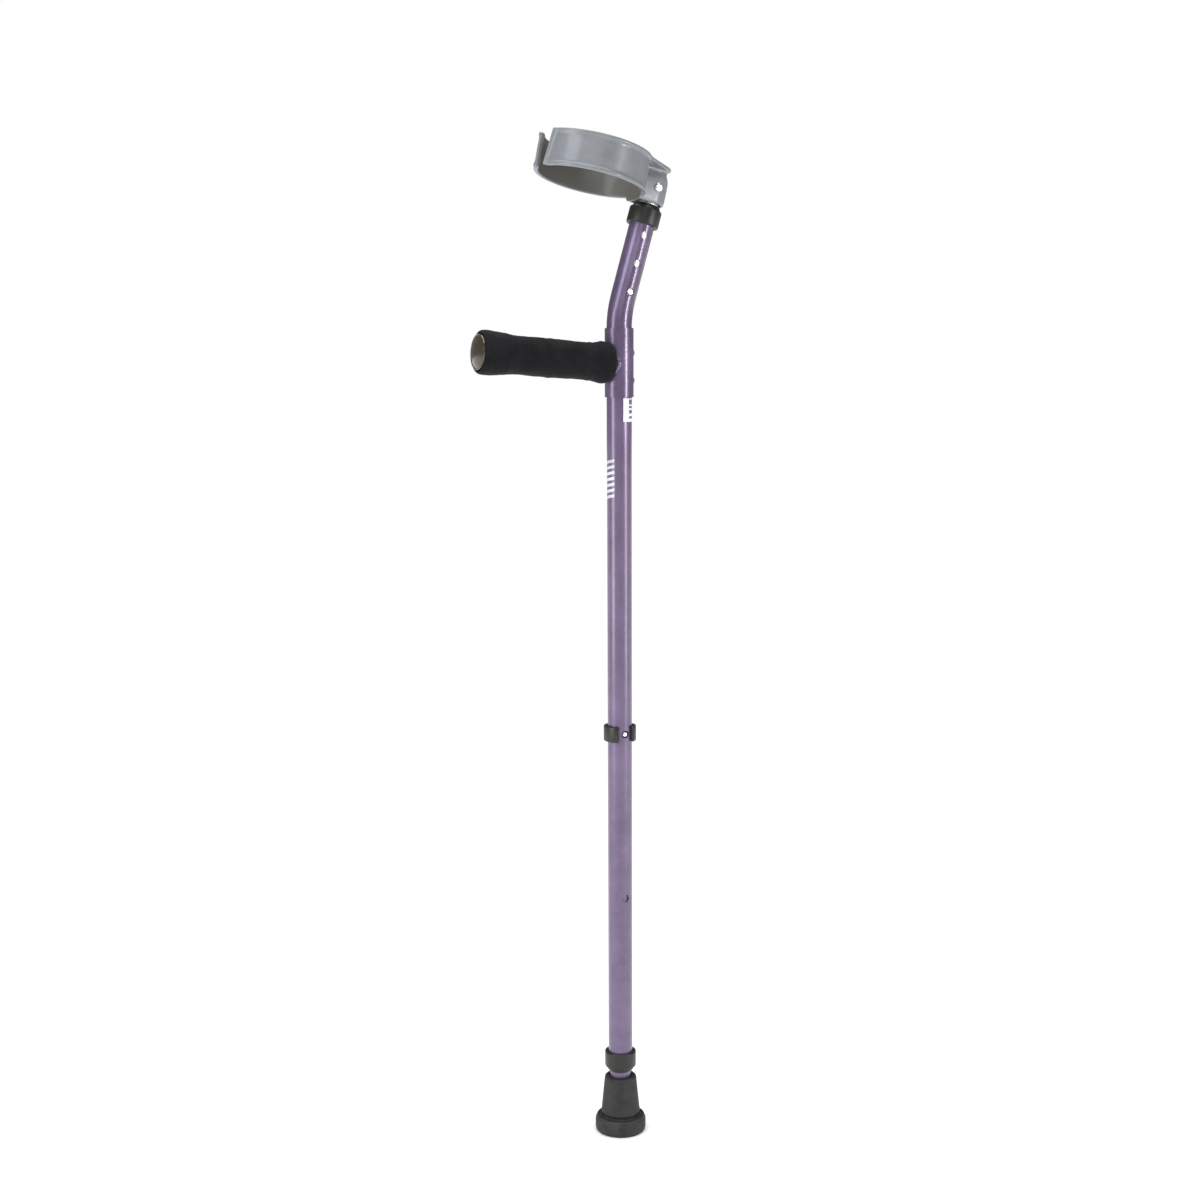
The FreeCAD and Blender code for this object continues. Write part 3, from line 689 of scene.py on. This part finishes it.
arm_space = bpy.context.object
turn_to_y = (math.pi / 2, 0, 0)
bolt_clearance = 2.6
bpy.ops.mesh.primitive_cylinder_add(vertices=48, radius=bolt_clearance * MM, depth=0.06, rotation=turn_to_y)
bolt_space = bpy.context.object

# %% Join them into one moulding
for operation, other in (("UNION", housing), ("UNION", roof), ("DIFFERENCE", arm_space),
                         ("DIFFERENCE", pocket), ("DIFFERENCE", bolt_space)):
    apply_modifier(cuff, "BOOLEAN", operation=operation, object=other, solver="EXACT")
    bpy.data.objects.remove(other)
    print(operation.lower(), "leaves", len(cuff.data.polygons), "faces")

# %% [markdown]
# A moulding has no sharp inside corners, because plastic doesn't flow well round them. Remeshing the
# joined shape into small even cells and relaxing it a little fillets every corner at once. The side of
# the band that touches the arm came off a blasted mould and is matt. Its colour is also made darker and
# warmer than the polished outside, which is painted shade inside the band.

# %% Matt inside with painted shade
def matt_inside_with_painted_shade(material, on_axis, along, edge, tone, rough):
    """Give the moulding a matt skin, and painted shade as a darker tone, wherever it is nearer to the arm's
    axis than an edge radius.
    """
    tree = material.node_tree
    shader = tree.nodes["Principled BSDF"]
    where = tree.nodes["Texture Coordinate"].outputs["Object"]
    offset = add_node(tree, "VectorMath", [(0, where)], operation="SUBTRACT")
    offset.inputs[1].default_value = on_axis
    across = add_node(tree, "VectorMath", [(0, offset.outputs[0])], operation="CROSS_PRODUCT")
    across.inputs[1].default_value = along
    radius = add_node(tree, "VectorMath", [(0, across.outputs[0])], operation="LENGTH").outputs["Value"]
    inside = ramp(tree, sums(tree, "DIVIDE", radius, edge), (0.985, 1.0), (1.0, 0.0))
    # The base colour blends here to the darker tone, which is painted shade inside the band; the roughness
    # is the real matt skin.
    for socket, value in (("Base Color", tone), ("Roughness", (rough, rough, rough))):
        before = shader.inputs[socket].links[0].from_socket
        tree.links.new(blend_colours(tree, inside, before, value), shader.inputs[socket])


arm_axis = cuff_frame @ Vector(arm_middle)
# The darker, warmer tone below is painted shade inside the band, and the higher roughness is its real matt
# skin.
matt_inside_with_painted_shade(grey_plastic, arm_axis, along=cuff_frame.col[2].xyz, edge=(band_inner + 1.0) * MM,
            tone=(0.098, 0.095, 0.084), rough=0.5)

# %% Fillet the moulding
apply_modifier(cuff, "REMESH", mode="VOXEL", voxel_size=0.58 * MM)
apply_modifier(cuff, "SMOOTH", factor=0.5, iterations=14)
finished(cuff, "cuff", grey_plastic, ["cuff"], cuff_frame, 60)

# %% [markdown]
# ## The end cap of the grip
# A glossy olive plug closes the front of the handle. It has a raised rim that catches the light, a
# shallow groove inside it, and a low dome with the small dimple where the mould's gate was.

# %% End cap
cap_rings = [(5.0, 116.0), (7.3, 116.0), (7.8, 116.8), (7.95, 118.0), (7.95, 132.4), (14.6, 132.4)]
cap_rings += [(15.2, 132.7)]
cap_rings += [(15.3, 133.2), (15.3, 134.3), (15.1, 134.8), (14.7, 135.0), (14.3, 134.8), (14.1, 134.5)]
dome_top, dome_edge, dome_base = 137.8, 13.8, 134.6
for step in range(8):
    radius = dome_edge * math.cos(step / 8 * math.pi / 2) if step < 7 else 2.0
    lift = (dome_top - dome_base) * (1 - (radius / dome_edge) ** 2)
    cap_rings.append((radius, dome_base + lift))
cap_rings += [(1.6, dome_top - 0.05), (1.3, dome_top - 0.15), (0.4, dome_top - 0.18)]
cap = turned("grip_end_plug", cap_rings, 96)
finished(cap, "frame", cap_plastic, ["grip_end_cap"], handle_frame, 40)

# %% [markdown]
# ## The foam grip
# The grip is a thick tube of soft black foam with a fine knitted skin. It swells at both ends, has
# three faint rings where its skin is joined, and its inner end is notched to sit round the sleeve. It
# is a padded piece, but it is stretched tight over a core, so it is raised as a smooth turned shape and
# then given small soft lumps.

# %% Foam shape
foam_bore, foam_recess = 13.1, 15.62
skin_rings = [(14.0, 9.5), (15.4, 9.5), (16.4, 10.1), (17.6, 11.9), (18.5, 14.6), (18.5, 17.6)]
skin_rings += [(17.6, 22.0)]
skin_rings += [(16.6, 27.0), (16.35, 29.0), (16.95, 30.4), (16.25, 31.9), (16.1, 38.0), (16.5, 48.0)]
skin_rings += [(16.75, 58.0), (16.8, 66.2), (17.45, 68.2), (16.8, 70.2), (16.6, 80.0), (16.4, 92.0)]
skin_rings += [(16.6, 101.0), (17.3, 108.0), (18.0, 109.8), (17.75, 111.8), (18.5, 118.0), (19.1, 124.0)]
skin_rings += [(19.2, 128.5), (18.9, 131.2), (17.9, 132.8), (16.6, 133.1), (foam_recess, 132.4)]
skin_rings += [(foam_recess, 127.6), (foam_bore, 127.6), (foam_bore, 110.0), (foam_bore, 70.0)]
skin_rings += [(foam_bore, 30.0), (foam_bore, 9.5)]
grip = turned("foam_grip", skin_rings, 64, hollow=True)
apply_modifier(grip, "SUBSURF", levels=2, render_levels=2)

# %% [markdown]
# The notch is pressed into the inner end: each point there slides along the handle until it clears the
# sleeve, and the push fades out over the next centimetre and a half, as it does in real foam.

# %% Notch and lumps
sleeve_clear = sleeve_radius / MM + 0.3
fade_length = 15.0
foam_start = 9.5


def along_to_clear(side, up):
    """How far along the handle a point must be to stand clear of the sleeve, in millimetres."""
    reach = math.sqrt(max(0.0, sleeve_clear ** 2 - side ** 2))
    return (reach + up * math.sin(handle_rise)) / math.cos(handle_rise)


for vertex in grip.data.vertices:
    up, side, along = (value / MM for value in vertex.co)
    push = max(0.0, along_to_clear(side, up) - foam_start)
    fade = min(1.0, max(0.0, (along - foam_start) / fade_length))
    vertex.co.z += push * (1 - fade * fade * (3 - 2 * fade)) * MM
lumps = bpy.data.textures.new("foam_lumps", "CLOUDS")
lumps.noise_scale = 0.011
lumps.noise_depth = 3
apply_modifier(grip, "DISPLACE", texture=lumps, texture_coords="LOCAL", strength=0.9 * MM, mid_level=0.5)

# %% Knitted skin
RIBS_ROUND, ROW_WAVES = 84.0, 5200.0


def knitted(name, dark, light):
    """Black knit over foam: rows of small loops round the grip, soft lint, painted shade that darkens the
    knit's hollows, and a slight sheen.
    """
    material, tree, shader, where = new_finish(name)
    turned_back = add_node(tree, "Mapping", [("Vector", where)], vector_type="TEXTURE",
                           Location=handle_root, Rotation=(0, handle_rise - math.pi / 2, 0))
    spot = add_node(tree, "SeparateXYZ", [("Vector", turned_back.outputs["Vector"])])
    turn = sums(tree, "ARCTAN2", spot.outputs["Y"], spot.outputs["X"])
    ribs = sums(tree, "SINE", sums(tree, "MULTIPLY", turn, RIBS_ROUND), 0)
    rows = sums(tree, "SINE", sums(tree, "MULTIPLY", spot.outputs["Z"], ROW_WAVES), 0)
    loops = sums(tree, "MULTIPLY", ribs, rows)
    knit = sums(tree, "ADD", sums(tree, "MULTIPLY", loops, 0.25), 0.5)
    fuzz = noise(tree, where, 1900, 4.0, 0.7)
    height = sums(tree, "ADD", sums(tree, "MULTIPLY", knit, 0.6), sums(tree, "MULTIPLY", fuzz, 0.4))
    # The colour follows the knit's relief height, so its hollows are darker as painted shade; the cloudy
    # noise adds a random tone.
    knit_tone_and_painted_shade = sums(tree, "MULTIPLY", height, noise(tree, where, 70, 4.0))
    tree.links.new(ramp(tree, knit_tone_and_painted_shade, (0.12, dark), (0.42, light)), shader.inputs["Base Color"])
    tree.links.new(ramp(tree, fuzz, (0.3, 0.78), (0.7, 0.95)), shader.inputs["Roughness"])
    steady(shader, Specular_IOR_Level=0.13, Sheen_Weight=0.04, Sheen_Roughness=0.5)
    bumps(tree, shader, height, 0.00025, 0.8)
    return material


knit_skin = knitted("black_knit_foam", (0.004, 0.004, 0.0045), (0.013, 0.013, 0.015))
finished(grip, "frame", knit_skin, ["grip_foam"], handle_frame, 60)

# %% [markdown]
# ## The weld
# The handle's tube is welded to the sleeve all round, and the weld shows beside the foam as a small
# painted ripple. A torus lies round the handle's line, each of its points is slid along the handle onto
# the sleeve, and a slow wave in its thickness leaves the overlapping ripples of a hand-laid bead.

# %% Weld bead
bead_line, bead_thickness, ripples = 11.2, 2.6, 24
bpy.ops.object.select_all(action="DESELECT")
bpy.ops.mesh.primitive_torus_add(major_radius=bead_line * MM, minor_radius=bead_thickness * MM,
                                 major_segments=170, minor_segments=14)
weld = bpy.context.object
weld.name = "weld_bead"
for vertex in weld.data.vertices:
    up, side, along = (value / MM for value in vertex.co)
    turn = math.atan2(side, up)
    swell = 1 + 0.06 * math.sin(ripples * turn)
    from_line = math.hypot(up, side) - bead_line
    reach = bead_line + from_line * swell
    up, side = reach * math.cos(turn), reach * math.sin(turn)
    on_sleeve = math.sqrt(sleeve_radius ** 2 / MM ** 2 - (bead_line * math.sin(turn)) ** 2)
    vertex.co = (up * MM, side * MM, (along * swell + on_sleeve + up * math.sin(handle_rise)) * MM)
finished(weld, "frame", paint, place=handle_frame, angle=80)

# %% [markdown]
# ## The size label and the printed band
# A small white film label sits under the sleeve, and a white printed band runs down the front of the
# tube. Both carry plain bars only. Each is a flat grid that is wrapped round the tube; the label keeps
# a paper's thickness.

# %% Wrapping helper
def wrapped(name, low, high, start, end, lift, thickness, climb=0.0):
    """A grid wrapped on the tube between two heights (mm) and two angles (degrees from the holes' side)."""
    bpy.ops.object.select_all(action="DESELECT")
    bpy.ops.mesh.primitive_grid_add(x_subdivisions=24, y_subdivisions=4, size=1)
    piece = bpy.context.object
    piece.name = name
    radius = tube_radius + lift * MM
    for vertex in piece.data.vertices:
        turn = math.radians(start + (vertex.co.x + 0.5) * (end - start) - 90)
        height = (low + (vertex.co.y + 0.5) * (high - low) + vertex.co.x * climb) * MM
        vertex.co = (math.cos(turn) * radius, math.sin(turn) * radius, height)
    apply_modifier(piece, "SOLIDIFY", thickness=thickness * MM, offset=1.0)
    return piece


# %% Label
LABEL_BARS = ((0.14, 0.24), (0.36, 0.50), (0.58, 0.68), (0.74, 0.95))
COLUMN_START, COLUMN_END = 0.45, 0.93


def between(tree, value, low, high):
    """1 where a value lies between two numbers, and 0 elsewhere."""
    above = sums(tree, "GREATER_THAN", value, low)
    return sums(tree, "MULTIPLY", above, sums(tree, "LESS_THAN", value, high))


def label_film():
    """White film with a column of plain purple bars, placed by the label's own map."""
    material, tree, shader, where = new_finish("label_film")
    print_map = add_node(tree, "UVMap", uv_map="UVMap")
    spot = add_node(tree, "SeparateXYZ", [("Vector", print_map.outputs["UV"])])
    across, up = spot.outputs["X"], spot.outputs["Y"]
    bars = None
    for low, high in LABEL_BARS:
        band = between(tree, up, low, high)
        bars = band if bars is None else sums(tree, "ADD", bars, band)
    column = between(tree, across, COLUMN_START, COLUMN_END)
    ink = sums(tree, "MULTIPLY", bars, column)
    film = ramp(tree, noise(tree, where, 300), (0.3, (0.78, 0.78, 0.80)), (0.7, (0.88, 0.88, 0.89)))
    tree.links.new(blend_colours(tree, ink, film, (0.16, 0.11, 0.24)), shader.inputs["Base Color"])
    gloss = ramp(tree, noise(tree, where, 500), (0.3, 0.30), (0.7, 0.42))
    tree.links.new(gloss, shader.inputs["Roughness"])
    return material


label_low, label_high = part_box("tube_label")
label = wrapped("size_label", label_low.z / MM, label_high.z / MM, start=-8, end=60,
                lift=0.03, thickness=0.12)
finished(label, "frame", label_film(), ["tube_label"], angle=40)

# %% [markdown]
# The printed band is a thin skin of white ink that stands a hair above the paint. It is a ladder of
# slanted bars, so the ink is a column of small separate sheets: each is wrapped round the tube and
# climbs a little as it goes round.

# %% Printed bars
band_foot, band_top, band_start, band_end = 587.0, 623.0, -117.0, -50.0
bar_count, bar_share, bar_climb = 7, 0.50, 2.6
pitch = (band_top - band_foot) / bar_count
bars = []
for number in range(bar_count):
    bar_low = band_foot + (number + (1 - bar_share) / 2) * pitch
    bar_high = bar_low + pitch * bar_share
    bars.append(wrapped("bar", bar_low, bar_high, band_start, band_end,
                        lift=0.01, thickness=0.05, climb=bar_climb))
bpy.ops.object.select_all(action="DESELECT")
for bar in bars:
    bar.select_set(True)
bpy.context.view_layer.objects.active = bars[0]
bpy.ops.object.join()
print_ink = moulded("white_ink", (0.50, 0.50, 0.54), (0.68, 0.68, 0.72),
                    rough=0.30, grain=1800, depth=0.00001)
bars[0].name = "tube_print"
finished(bars[0], "frame", print_ink, angle=40)

# %% [markdown]
# ## The floor
# A wide, pale, plain floor belongs to the studio and not to the crutch. It bounces soft light up the
# tubes.

# %% Floor
bpy.ops.mesh.primitive_plane_add(size=30)
floor = bpy.context.object
floor.name = "studio_floor"
material, tree, shader, where = new_finish("pale_floor")
pale = ramp(tree, noise(tree, where, 6, 4.0), (0.3, (0.91, 0.91, 0.91)), (0.7, (0.93, 0.93, 0.93)))
tree.links.new(pale, shader.inputs["Base Color"])
steady(shader, Roughness=0.75, Specular_IOR_Level=0.2)
floor.data.materials.append(material)
